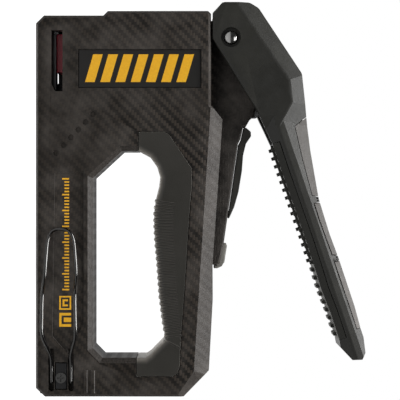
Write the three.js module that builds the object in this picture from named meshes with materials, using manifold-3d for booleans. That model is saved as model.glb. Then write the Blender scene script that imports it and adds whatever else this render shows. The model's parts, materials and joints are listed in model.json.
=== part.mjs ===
// Hand-operated staple gun with a composite body, a squeeze handle and a wire belt hook.
// Millimetres. -X is the nose where the staple leaves, +X the rear, +Z points from the
// magazine base up to the squeeze handle, Y runs through the thickness. The origin is the
// middle of the flat magazine base.
import * as THREE from "three";
import { mergeVertices } from "three/addons/utils/BufferGeometryUtils.js";
import Module from "manifold-3d";

const wasm = await Module();
wasm.setup();

// ---- driving dimensions ----
const GAP = 0.3; // clearance between neighbouring pieces
const BODY_HALF = 14; // half the body thickness
const FRONT = -95.3; // front face of the upper body
const NOSE_FRONT = -93.1; // front face of the set-back nose
const REAR = 93.7;
const EDGE_BEVEL = 1.2;
const HOLE_BEVEL = 2.4;
const LOBE_HALF = 6.5; // half the thickness of the lobe that carries the handle pivot
const PIVOT = { x: -82.4, z: 95.6, r: 3.2 };
const BAY_HALF = 6.6; // half-width of the magazine bay
const BAY_TOP = 15;
const EXIT_FRONT = -91.9; // front of the bay, of the striker chamber and of the blade slot
const CHAMBER = { half: 8.2, rear: -66, floor: 17.5, top: 83.3 }; // striker chamber
const SEAT_GROOVE = { x0: -85.8, x1: -67.2, half: 9.8, z0: 53.7, z1: 56.9 };
const NOSE_SEAT = { half: 9.3, top: 33 }; // seat of the nose plate
const CAM_SLOT = { x0: -60, x1: -39.6, half: 3 };
const FLANK_SLOPE = 0.7; // how fast the long flanks of the body fall away
const SHELL_SCREW = { shank: 1.6, bore: 1.9, head: 3.1, sink: 3.4 }; // radii
const SCREW_SEAT = 11.2; // depth in Y at which the screw heads sit
const ROCKER_PIN = { x: -64, z: 66, r: 2 };
const LATCH_PIN = { x: 4, z: 92, r: 1.2 };
const LATCH_EYE = 3; // radius of the lock's eye
const LOCK_HALF = 5;
const STOP_HALF = 4;
const WINDOW = { x0: -85.8, x1: -55.9, z0: 7.5, z1: 13.1, slant: 3.8 };
const SIGHT_SLOT = { x0: -85.8, x1: -61.4, z0: 7.5, z1: 9 }; // opposite the window
const HOOK_WIRE = 1; // wire radius
const GRIP_DEPTH = 3; // rubber thickness on the finger side
const GRIP_CORE_HALF = 11.1;
const HANDLE_HALF = 13.8; // half-width of the handle at its side ridge
const CHANNEL_HALF = 8.6; // half-width of the channel inside the handle
const CHANNEL_WALL = 1.2;
const HEAD_SLOPE = 0.5; // half-width lost per millimetre on the head and the neck
const PALM_SHOULDER = 3.6; // from the ridge line to where the palm flank steepens
const PALM_SLOPE = 0.16; // half-width lost per millimetre up to the shoulder
const PALM_STEEP = 0.55; // and beyond it
const FINGER_SLOPE = 0.35;
const CAM_HALF = 2; // half thickness of the cam plate
const PIN_RECESS = { r: 4.9, depth: 2.4 }; // countersink round the handle pin
const TOOTH = { count: 24, half: 5.2, row: [8.9, 10.8], height: 1.6, root: 1, tip: 0.8 };
const CHANNEL_END = 27; // where the channel stops being open on the finger side
const BEYOND = 30; // reach of cutters past the outside
const SEGMENTS = 16;

// ---- colours ----
const paint = (color, roughness, metalness = 0) =>
  new THREE.MeshStandardMaterial({ color, roughness, metalness });
const composite = paint(0x302c29, 0.5);
const rubber = paint(0x44403c, 0.8);
const handlePlastic = paint(0x35332f, 0.55);
const steel = paint(0xb9bcc0, 0.3, 1);
const blackSteel = paint(0x26262a, 0.4, 1);
const redPlastic = paint(0x68202c, 0.5);

// ---- geometry helpers ----
// A closed solid through outlines of equal point count, [y, points] from low to high Y.
function slab(sections) {
  const first = sections[0][1].map(([x, z]) => new THREE.Vector2(x, z));
  const clockwise = THREE.ShapeUtils.isClockWise(first);
  const rings = sections.map(([y, points]) => [y, clockwise ? [...points].reverse() : points]);
  const flat = rings[0][1].map(([x, z]) => new THREE.Vector2(x, z));
  const count = flat.length;
  const positions = [];
  for (const [y, points] of rings) for (const [x, z] of points) positions.push(x, y, z);
  const index = [];
  const top = (rings.length - 1) * count;
  for (const [a, b, c] of THREE.ShapeUtils.triangulateShape(flat, [])) {
    index.push(a, b, c, top + a, top + c, top + b);
  }
  for (let low = 0; low < top; low += count) {
    const high = low + count;
    for (let i = 0; i < count; i++) {
      const j = (i + 1) % count;
      index.push(low + i, high + j, low + j, low + i, high + i, high + j);
    }
  }
  const geometry = new THREE.BufferGeometry();
  geometry.setAttribute("position", new THREE.Float32BufferAttribute(positions, 3));
  geometry.setIndex(index);
  return solid(geometry);
}

const plate = (points, y0, y1) => slab([[y0, points], [y1, points]]);

// A plate whose two rims are chamfered by `bevel`.
function bevelled(points, y0, y1, bevel) {
  const inner = offset(points, -bevel);
  return slab([[y0, inner], [y0 + bevel, points], [y1 - bevel, points], [y1, inner]]);
}

// The outline moved outwards by `distance` (inwards when negative), with mitred corners.
function offset(points, distance) {
  const flat = points.map(([x, z]) => new THREE.Vector2(x, z));
  const sign = THREE.ShapeUtils.isClockWise(flat) ? -1 : 1;
  return flat.map((p, i) => {
    const before = flat[(i + flat.length - 1) % flat.length];
    const after = flat[(i + 1) % flat.length];
    const a = p.clone().sub(before).normalize();
    const b = after.clone().sub(p).normalize();
    const normal = new THREE.Vector2(a.y + b.y, -a.x - b.x).normalize();
    const stretch = 1 / Math.max(0.4, normal.dot(new THREE.Vector2(a.y, -a.x)));
    return [p.x + normal.x * distance * stretch * sign, p.y + normal.y * distance * stretch * sign];
  });
}

// Points of a circular arc in the XZ plane, angles in degrees.
function arc(cx, cz, r, from, to, steps) {
  const points = [];
  for (let i = 0; i <= steps; i++) {
    const angle = THREE.MathUtils.degToRad(from + ((to - from) * i) / steps);
    points.push([cx + r * Math.cos(angle), cz + r * Math.sin(angle)]);
  }
  return points;
}

const circle = (cx, cz, r, steps = SEGMENTS) => arc(cx, cz, r, 0, 360, steps).slice(0, -1);
const rectangle = (x0, x1, z0, z1) => [[x0, z0], [x1, z0], [x1, z1], [x0, z1]];
const block = (x0, x1, y0, y1, z0, z1) => plate(rectangle(x0, x1, z0, z1), y0, y1);
const rodY = (cx, cz, r, y0, y1, steps = SEGMENTS) => plate(circle(cx, cz, r, steps), y0, y1);

// A wire of radius r along a curve.
function wire(curve, r, steps, sides = 8) {
  const section = new THREE.Shape();
  circle(0, 0, r, sides).forEach(([x, y], i) => (i ? section.lineTo(x, y) : section.moveTo(x, y)));
  section.closePath();
  return solid(new THREE.ExtrudeGeometry(section, { steps, extrudePath: curve }));
}

// A coil spring along an axis: place(angle, t) gives the wire's centre.
class Coil extends THREE.Curve {
  constructor(turns, place) {
    super();
    this.turns = turns;
    this.place = place;
  }
  getPoint(t, target = new THREE.Vector3()) {
    return target.copy(this.place(2 * Math.PI * this.turns * t, t));
  }
}

// ---- joining and cutting ----
function solid(geometry) {
  const bare = geometry.clone();
  bare.deleteAttribute("normal");
  bare.deleteAttribute("uv");
  const merged = mergeVertices(bare, 1e-4);
  return new wasm.Manifold(
    new wasm.Mesh({
      numProp: 3,
      vertProperties: new Float32Array(merged.attributes.position.array),
      triVerts: new Uint32Array(merged.index.array),
    })
  );
}

const cut = (base, ...tools) => tools.reduce((result, tool) => result.subtract(tool), base);
const join = (base, ...more) => more.reduce((result, piece) => result.add(piece), base);

const group = new THREE.Group();
function add(name, shape, material) {
  const { vertProperties, triVerts } = shape.getMesh();
  const geometry = new THREE.BufferGeometry();
  geometry.setAttribute("position", new THREE.Float32BufferAttribute(vertProperties, 3));
  geometry.setIndex(Array.from(triVerts));
  geometry.computeVertexNormals();
  const mesh = new THREE.Mesh(geometry, material);
  mesh.name = name;
  group.add(mesh);
}

// Removes what lies outside a sloping plane: the plane holds the line p-q at |Y| = yIn and
// loses `slope` of half-width for each millimetre outwards (to the left of p-q).
function slopeCutters(p, q, yIn, slope) {
  const along = new THREE.Vector3(q[0] - p[0], 0, q[1] - p[1]).normalize();
  const out = new THREE.Vector3(-along.z, 0, along.x);
  const reach = 150;
  const length = 400;
  const outer = 60; // far side of the cutter, well outside the piece
  const middle = new THREE.Vector3((p[0] + q[0]) / 2, 0, (p[1] + q[1]) / 2);
  return [1, -1].map((side) => {
    const profile = new THREE.Shape();
    profile.moveTo(-2, side * (yIn + 2 * slope));
    profile.lineTo(reach, side * (yIn - reach * slope));
    profile.lineTo(reach, side * outer);
    profile.lineTo(-2, side * outer);
    profile.closePath();
    const prism = new THREE.ExtrudeGeometry(profile, { depth: length, bevelEnabled: false });
    prism.translate(0, 0, -length / 2);
    const axis = new THREE.Vector3().crossVectors(out, new THREE.Vector3(0, 1, 0));
    const place = new THREE.Matrix4().makeBasis(out, new THREE.Vector3(0, 1, 0), axis);
    place.setPosition(middle);
    prism.applyMatrix4(place);
    return solid(prism);
  });
}

// ---- outlines of the body ----
const bodyOutline = [
  [-89.2, 0], [89.5, 0], [REAR, 4.4], [REAR, 72.4], [81.3, 84.8], [46.3, 86.7], [29.1, 86.6],
  [-42.3, 91.5], [-49.1, 85.8], [-93.9, 85.8], [FRONT, 84.4], [FRONT, 35.2], [NOSE_FRONT, 33],
  [NOSE_FRONT, 3.9],
];
const lobeOutline = [
  [-93, 80], [29.4, 80], [29.4, 87.8], [28.9, 89.9], [23.4, 91.4], [18.6, 92.2], [-30.3, 99.2],
  [-32.7, 100.4], [-38.8, 101.7], [-38.8, 103], [-42.8, 105.3], [-44.4, 107.4], [-50, 107.9],
  ...arc(PIVOT.x, PIVOT.z, 9, 86, 180, 8), [-91.4, 86],
];
const gripSide = [
  [74.8, 49.4], [74.8, 53.6], [73.4, 55.6], [65.4, 63.4], [56.4, 61.9], [44.4, 60.4],
  [28.4, 59.3], [17.4, 58.3], [10, 57.9], [3.4, 57.9], [-3.7, 58.9], [-9.2, 60.3],
  [-13.7, 60.8], [-18.7, 59.4], [-23.7, 55.9], [-26.7, 50.4],
];
const holeOutline = [
  [-26.7, 42.1], [-13.4, 27.8], [70, 27.8], [74.8, 32.5], ...gripSide,
];
const gripOutline = [
  ...gripSide, [-36, 50.4], [-36, 62.9], [-34.1, 65.7], [-18.3, 76.2], [-10.5, 76.4],
  [7.1, 74.9], [46.3, 72.4], [63.9, 71], [78.5, 70.4], [82, 69.4], [83.6, 67], [83.6, 49.4],
];
// The composite core inside the rubber grip: the finger side moved in by the rubber depth.
const coreOutline = [
  ...offset([...gripSide, [-60, 50], [-60, 79], [90, 79], [90, 49.4]], -GRIP_DEPTH)
    .slice(0, gripSide.length),
  [-50, 53], [-50, 79], [88, 79], [88, 46],
];
// Rubber stop let into the rear end of the lobe.
const stopOutline = [
  [18.9, 88.4], [18.9, 93.5], [20.2, 93.8], [28.4, 92.5], [30.3, 91.2], [31.3, 88.9],
  [31.3, 87.2], [29.7, 87.2], [29.7, 88.4],
];
const windowOutline = (grow) => [
  [WINDOW.x0 - grow, WINDOW.z0 - grow],
  [WINDOW.x1 - WINDOW.slant + grow, WINDOW.z0 - grow],
  [WINDOW.x1 + grow, WINDOW.z1 - WINDOW.slant],
  [WINDOW.x1 + grow, WINDOW.z1 + grow],
  [WINDOW.x0 - grow, WINDOW.z1 + grow],
];

// Cutter for the staple window in the -Y wall and the narrow slot in the +Y wall.
function sightCutter(grow) {
  const { x0, x1, z0, z1 } = SIGHT_SLOT;
  return join(plate(windowOutline(grow), -BEYOND, 1),
    block(x0 - grow, x1 + grow, -1, BEYOND, z0 - grow, z1 + grow));
}

// ---- body shells ----
const SHELL_SCREWS = [[-48, 40], [-40, 21], [84, 21], [88.3, 60], [10, 21]];
const HOOK_SCREW = { x: 84.3, z: 12.4 };
const BADGE = { x0: -76.5, x1: -57.5, z0: 20.7, z1: 81.1 };
const SCALE_PANEL = [[-15.9, 9.4], [-15.9, 23.4], [58.5, 23.4], [72, 15.2], [64, 8.2]];
const PANEL_DEPTH = 0.5;
const BADGE_DEPTH = 1.4;
const HOOK_LEG = 4.8; // half the distance between the two ends of the hook
const HOOK_PLATE = rectangle(77, 90, 9.6, 15.2); // plate between the ends
const HOOK_GROOVE = { x0: 70, x1: 89.6, half: 1.4, floor: -11.6 };
const REAR_RIBS = [[23.6, 25.4], [26.9, 29]]; // [z0, z1] of two raised ribs near the rear end
const RIB_HEIGHT = 0.5;
const DIMPLE = { x: -44.7, z: 28, dx: 3.8, dz: -3.6, r: 1.5, depth: 0.7, count: 6 };

function bodyShells() {
  const outer = bevelled(bodyOutline, -BODY_HALF, BODY_HALF, EDGE_BEVEL);
  const flare = offset(holeOutline, HOLE_BEVEL + 0.6);
  const reach = BODY_HALF + 0.6;
  const fingerHole = slab([
    [-reach, flare], [-reach + HOLE_BEVEL + 0.6, holeOutline],
    [reach - HOLE_BEVEL - 0.6, holeOutline], [reach, flare],
  ]);
  const gripPocket = cut(
    plate(offset(gripOutline, GAP), -20, 20),
    plate(coreOutline, -GRIP_CORE_HALF, GRIP_CORE_HALF)
  );
  const lobe = bevelled(lobeOutline, -LOBE_HALF, LOBE_HALF, 0.8);
  let body = join(
    cut(outer, ...slopeCutters([-48, 85.6], [100, 76.2], BODY_HALF, FLANK_SLOPE),
      ...slopeCutters([81, 77.5], [93.2, 69.2], BODY_HALF, FLANK_SLOPE)),
    lobe
  );
  body = cut(body, fingerHole, gripPocket);
  // magazine bay, open at the base and the rear
  body = cut(body, block(EXIT_FRONT, REAR + 6, -BAY_HALF, BAY_HALF, -5, BAY_TOP));
  // striker chamber and the slot in which the blade runs down to the exit
  body = cut(body,
    block(EXIT_FRONT, CHAMBER.rear, -CHAMBER.half, CHAMBER.half, CHAMBER.floor, CHAMBER.top),
    block(EXIT_FRONT, EXIT_FRONT + 1.8, -BAY_HALF, BAY_HALF, -5, CHAMBER.floor + 0.5),
    block(SEAT_GROOVE.x0, SEAT_GROOVE.x1, -SEAT_GROOVE.half, SEAT_GROOVE.half,
      SEAT_GROOVE.z0, SEAT_GROOVE.z1));
  // nose plate seat
  body = cut(body, block(-100, EXIT_FRONT, -NOSE_SEAT.half, NOSE_SEAT.half, -5, NOSE_SEAT.top));
  // rocker chamber and the slot for the cam plate
  body = cut(body,
    plate([[-75, 55], [-36, 55], [-35, 58], [-35, 83.3], [-75, 83.3]], -5.2, 5.2),
    block(CAM_SLOT.x0, CAM_SLOT.x1, -CAM_SLOT.half, CAM_SLOT.half, 80, 120),
    rodY(ROCKER_PIN.x, ROCKER_PIN.z, ROCKER_PIN.r + GAP, -11, 11));
  // handle pivot, latch pocket and pin, seat of the stop
  body = cut(body,
    rodY(PIVOT.x, PIVOT.z, PIVOT.r + GAP, -BEYOND, BEYOND),
    rodY(LATCH_PIN.x, LATCH_PIN.z, LATCH_EYE + 0.4, -4.4, 4.4),
    rodY(LATCH_PIN.x, LATCH_PIN.z, LATCH_PIN.r + GAP, -5.6, 5.6, 10),
    plate(offset(stopOutline, GAP), -STOP_HALF - GAP, STOP_HALF + GAP));
  body = cut(body, sightCutter(0));
  // shell screws from the +Y side
  for (const [x, z] of SHELL_SCREWS) {
    body = cut(body,
      rodY(x, z, SHELL_SCREW.bore, -9.6, 12, 10),
      rodY(x, z, SHELL_SCREW.sink, SCREW_SEAT, BEYOND));
  }
  // seat of the belt hook plate, a groove for each wire end, and the screw hole
  const groove = (side) => {
    const { x0, x1, half, floor } = HOOK_GROOVE;
    const z = HOOK_SCREW.z + HOOK_LEG * side;
    return join(block(x0, x1, -BEYOND, floor, z - half, z + half), rodY(x1, z, half, -BEYOND, floor));
  };
  body = cut(body,
    plate(offset(HOOK_PLATE, GAP), -BEYOND, -12.2),
    groove(-1),
    groove(1),
    rodY(HOOK_SCREW.x, HOOK_SCREW.z, 1.6, -13, -8, 10));
  // shallow panels and a slanting row of dimples on the show side
  const face = -BODY_HALF;
  body = cut(body,
    block(BADGE.x0, BADGE.x1, -BEYOND, face + BADGE_DEPTH, BADGE.z0, BADGE.z1),
    plate(SCALE_PANEL, -BEYOND, face + PANEL_DEPTH));
  for (let i = 0; i < DIMPLE.count; i++) {
    const [x, z] = [DIMPLE.x + DIMPLE.dx * i, DIMPLE.z + DIMPLE.dz * i];
    body = cut(body, rodY(x, z, DIMPLE.r, face - 1, face + DIMPLE.depth, 8));
  }
  for (const [z0, z1] of REAR_RIBS) {
    const rib = bevelled(rectangle(80.5, 92, z0, z1), face - RIB_HEIGHT, face + 1, 0.4);
    body = join(body, rib);
  }
  const keep = (y0, y1) => body.intersect(block(-150, 150, y0, y1, -20, 150));
  add("shell_left", keep(-30, -GAP / 2), composite);
  add("shell_right", keep(GAP / 2, 30), composite);
}

function gripInsert() {
  const half = GRIP_CORE_HALF + GAP;
  const grip = cut(
    plate(gripOutline, -BODY_HALF, BODY_HALF),
    plate(offset(coreOutline, GAP), -half, half)
  );
  add("grip_insert", grip, rubber);
}

function badge() {
  const { x0, x1, z0, z1 } = BADGE;
  const [low, high] = [-BODY_HALF + PANEL_DEPTH, -BODY_HALF + BADGE_DEPTH - GAP];
  add("badge_plate", block(x0 + GAP, x1 - GAP, low, high, z0 + GAP, z1 - GAP), handlePlastic);
}

function noseParts() {
  const half = NOSE_SEAT.half - GAP;
  const plateBack = EXIT_FRONT - GAP;
  add("nose_plate", block(NOSE_FRONT, plateBack, -half, half, 3.9, NOSE_SEAT.top - GAP), steel);
  const channel = cut(
    block(-89.8, 86, -BAY_HALF + GAP, BAY_HALF - GAP, 0, 14.6),
    block(-95, 90, -5.6, 5.6, 0.8, 20),
    block(-95, -84.5, -5.6, 5.6, -1, 20),
    sightCutter(0.5)
  );
  add("magazine_channel", channel, blackSteel);
}

// Cross recess of a screw head, arms of the given reach and half-width.
const crossCutter = (x, z, y0, y1, reach, half) => join(
  block(x - reach, x + reach, y0, y1, z - half, z + half),
  block(x - half, x + half, y0, y1, z - reach, z + reach)
);

function shellScrews() {
  SHELL_SCREWS.forEach(([x, z], i) => {
    const screw = cut(
      join(rodY(x, z, SHELL_SCREW.shank, -9.3, 12, 10),
        rodY(x, z, SHELL_SCREW.head, SCREW_SEAT + GAP, BODY_HALF - 0.4)),
      crossCutter(x, z, 12.6, BEYOND, 2.2, 0.45)
    );
    add(`shell_screw_${i + 1}`, screw, blackSteel);
  });
}

function beltHook() {
  const middle = HOOK_SCREW.z;
  const side = (s) => [
    [87.6, -13, middle + HOOK_LEG * s], [78, -13.3, middle + HOOK_LEG * s],
    [73.5, -15.9, middle + HOOK_LEG * s], [68.5, -20, middle + 6.2 * s],
    [62.5, -24.6, middle + 8 * s], [54, -25.8, middle + 8 * s], [43, -25.4, middle + 7.8 * s],
    [38.5, -20.6, middle + 7.8 * s], [33.5, -17, middle + 7.6 * s], [24, -16.2, middle + 7 * s],
    [15.5, -16.2, middle + 5.9 * s], [12, -16.2, middle + 3.6 * s],
  ];
  const points = [...side(-1), ...side(1).reverse()].map((p) => new THREE.Vector3(...p));
  const curve = new THREE.CatmullRomCurve3(points, false, "centripetal");
  add("belt_hook", wire(curve, HOOK_WIRE, 76), blackSteel);
  const { x, z } = HOOK_SCREW;
  const clamp = cut(
    bevelled(HOOK_PLATE, -13.8, -12.5, 0.4),
    rodY(x, z, 1.7, -BEYOND, 0, 10)
  );
  add("belt_hook_clamp", clamp, blackSteel);
  const screw = cut(
    join(rodY(x, z, 1.3, -14.5, -8.3, 10), rodY(x, z, 2.6, -15.2, -14.1, 24)),
    crossCutter(x, z, -BEYOND, -14.6, 1.8, 0.35)
  );
  add("belt_hook_screw", screw, steel);
}

// ---- striker: plunger, blade, power spring ----
function striker() {
  const frame = [
    [-90.3, 22.3], [-70, 22.3], [-70, 30], [-86.7, 30], [-86.7, 63], [-74, 63], [-74, 66.5],
    [-90.3, 66.5],
  ];
  add("plunger", plate(frame, -7.4, 7.4), blackSteel);
  add("driver_blade", block(-91.6, -90.6, -5.2, 5.2, 2.2, 60), steel);
  const coil = { x: -78.2, r: 5.7, wire: 0.9, turns: 6.5, foot: 31.3, rise: 21.3 };
  const spring = new Coil(coil.turns, (a, t) => new THREE.Vector3(
    coil.x + coil.r * Math.cos(a), coil.r * Math.sin(a), coil.foot + coil.rise * t));
  add("power_spring", wire(spring, coil.wire, 12 * coil.turns, 6), steel);
  add("spring_seat", block(-85.5, -67.5, -9.5, 9.5, 54, 56.6), blackSteel);
  add("plunger_bumper", bevelled(rectangle(-86.5, -70, 17.8, 22), -7, 7, 0.8), rubber);
}

// ---- rocker that lifts the plunger when the handle is squeezed ----
function rocker() {
  const { x, z, r } = ROCKER_PIN;
  const tip = { x: -78, z: 60.5, r: 2.2 };
  const heel = { x: -42.4, z: 76, r: 3.5 };
  const half = 2.2;
  const limb = (a, b, width) => {
    const dx = b.x - a.x;
    const dz = b.z - a.z;
    const length = Math.hypot(dx, dz);
    const nx = (-dz / length) * width;
    const nz = (dx / length) * width;
    return plate([[a.x + nx, a.z + nz], [b.x + nx, b.z + nz], [b.x - nx, b.z - nz],
      [a.x - nx, a.z - nz]], -half, half);
  };
  const hub = { x, z };
  const root = { x: x - 2, z: z - 3.8 };
  const arm = cut(
    join(rodY(x, z, 5, -half, half), limb(root, tip, 1.9), limb(hub, heel, 3.4),
      rodY(tip.x, tip.z, tip.r, -half, half), rodY(heel.x, heel.z, heel.r, -half, half)),
    rodY(x, z, r + GAP, -5, 5)
  );
  add("rocker", arm, steel);
  add("rocker_pin", rodY(x, z, r, -10.7, 10.7), steel);
  const radius = 3.6;
  const coil = new Coil(2.2, (a, t) =>
    new THREE.Vector3(x + radius * Math.cos(a), 2.95 + 1.7 * t, z + radius * Math.sin(a)));
  add("return_spring", wire(coil, 0.35, 26, 5), steel);
}

// ---- magazine: rail, pusher, staples ----
function magazine() {
  const rail = cut(
    block(-89.6, 86, -4, 4, 1.1, 8.9),
    block(-100, 84, -3, 3, -1, 7.9)
  );
  add("magazine_rail", rail, steel);
  const pull = join(
    bevelled(rectangle(86.3, 93.2, 1.1, 14.6), -6.2, 6.2, 0.6),
    block(91, REAR, -5.2, 5.2, 4.8, 7)
  );
  add("magazine_pull", cut(pull, block(80, 88, -1.2, 1.2, 11.4, 13.8)), blackSteel);
  const [height, rodFront, rodRear] = [12.6, -72, 87.6];
  const rod = new THREE.LineCurve3(
    new THREE.Vector3(rodFront, 0, height),
    new THREE.Vector3(rodRear, 0, height)
  );
  add("pusher_rod", wire(rod, 0.8, 1, 8), steel);
  const coil = { r: 1.35, wire: 0.25, turns: 24, front: -64.6, length: 149.8 };
  const spring = new Coil(coil.turns, (a, t) => new THREE.Vector3(
    coil.front + coil.length * t, coil.r * Math.cos(a), height + coil.r * Math.sin(a)));
  add("pusher_spring", wire(spring, coil.wire, coil.turns * 7, 4), steel);
  const legs = cut(block(-89.6, -85.2, -5.3, 5.3, 3, 10.2), block(-95, -80, -4.3, 4.3, 0, 9.2));
  add("staple_strip", legs, steel);
  const follower = cut(
    bevelled(rectangle(-84.9, -65.7, 9.2, 14.4), -5.3, 5.3, 0.5),
    plate(rectangle(-100, -50, 11.4, 13.8), -1.2, 1.2)
  );
  add("staple_follower", follower, redPlastic);
}

// ---- lever lock ----
function lock() {
  const outline = [
    [-38.5, 103.4], [-36.4, 105.7], [-34.2, 105.7], [-30.5, 103.2], [-24.8, 101.8], [-16.9, 101.2],
    [-6.6, 99.5], [0.8, 97.4], [6.4, 94.9], [6.6, 94.25], [1.4, 95], [-30.2, 99.5],
    [-32.6, 100.72], [-38.5, 102],
  ];
  const eye = rodY(LATCH_PIN.x, LATCH_PIN.z, LATCH_EYE, -4, 4);
  const bar = cut(join(plate(outline, -LOCK_HALF, LOCK_HALF), eye),
    rodY(LATCH_PIN.x, LATCH_PIN.z, LATCH_PIN.r + GAP, -10, 10, 10));
  add("handle_lock", bar, handlePlastic);
  add("handle_lock_pin", rodY(LATCH_PIN.x, LATCH_PIN.z, LATCH_PIN.r, -5.3, 5.3, 10), steel);
  add("handle_stop", bevelled(stopOutline, -STOP_HALF, STOP_HALF, 0.4), rubber);
}

// ---- squeeze handle ----
const palmSide = [
  [-94.3, 86.6], [-99.5, 91.4], [-99.7, 93.1], [-99.7, 104.9], [-97.2, 109.3], [-64.9, 130.6],
  [-45, 132.7], [-27.2, 134.8], [-3.6, 138.7], [14, 144.1], [25.8, 148.5], [49.3, 156.3],
  [61.1, 159.5], [64.5, 160.7], [72.3, 161.6], [75.6, 160], [75.8, 155.1], [69.9, 149.5],
];
const fingerSide = [
  [65.9, 148.8], [53.2, 144.6], [41, 139.9], [32.1, 137.2], [19.9, 133.3], [7.6, 129.1],
  [-5.6, 124.5], [-17.4, 120.3], [-30.1, 116.1],
];
const handleOutline = [...palmSide, ...fingerSide, [-45.8, 108.8], [-81.8, 86.6]];

// The line p-q moved to its left by `distance`.
function offsetLine([p, q], distance) {
  const length = Math.hypot(q[0] - p[0], q[1] - p[1]);
  const [nx, nz] = [-(q[1] - p[1]) / length, (q[0] - p[0]) / length];
  return [p, q].map(([x, z]) => [x + nx * distance, z + nz * distance]);
}

// The handle body: a plate whose wide flanks fall away from a ridge line. Each flank fades in
// behind the head of the handle through a short cross facet.
function handleSolid(inset) {
  const half = HANDLE_HALF - inset;
  const rim = 0.6;
  const body = slab([
    [-half, offset(handleOutline, -inset - rim)], [-half + rim, offset(handleOutline, -inset)],
    [half - rim, offset(handleOutline, -inset)], [half, offset(handleOutline, -inset - rim)],
  ]);
  const ridge = [[-37.9, 118.7], [63.9, 153.3]];
  const headFlank = slopeCutters([-88.2, 105.7], [-61.5, 124.1], half, HEAD_SLOPE);
  const neckFlank = slopeCutters([-61.5, 124.1], [-50.8, 125.3], half, HEAD_SLOPE);
  const neckFade = slopeCutters([-40, 100], [-40, 140], half, 1);
  const palmFlank = slopeCutters(ridge[0], ridge[1], half, PALM_SLOPE);
  const shoulder = offsetLine(ridge, PALM_SHOULDER);
  const shoulderHalf = half - PALM_SLOPE * PALM_SHOULDER;
  const palmSteep = slopeCutters(shoulder[0], shoulder[1], shoulderHalf, PALM_STEEP);
  const palmFade = slopeCutters([-50.8, 125.3], [-38.6, 118.3], half, HEAD_SLOPE);
  const fingerFlank = slopeCutters(ridge[1], ridge[0], half, FINGER_SLOPE);
  const fingerFade = slopeCutters([-44, 130], [-44, 100], half, 0.3);
  const both = (flank, fade) => flank.map((cutter, side) => cutter.intersect(fade[side]));
  return cut(body, ...headFlank, ...both(neckFlank, neckFade), ...both(palmFlank, palmFade),
    ...both(palmSteep, palmFade), ...both(fingerFlank, fingerFade));
}

// Pads inlaid on the palm side: [front end, rear end] limits of each along the handle.
const PADS = [
  [[-43.3, 132.8], [-38.9, 127.2], [-21.8, 131.1], [-4.9, 135.6], [-4.2, 141], [-43, 137]],
  [[-1, 136.4], [7, 138.9], [24.2, 145.2], [24.8, 151], [-2, 143]],
  [[27.8, 146.4], [45, 152.3], [60.4, 157.3], [59.4, 162], [26.6, 152]],
];
const PAD_DEPTH = 1.6;

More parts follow.
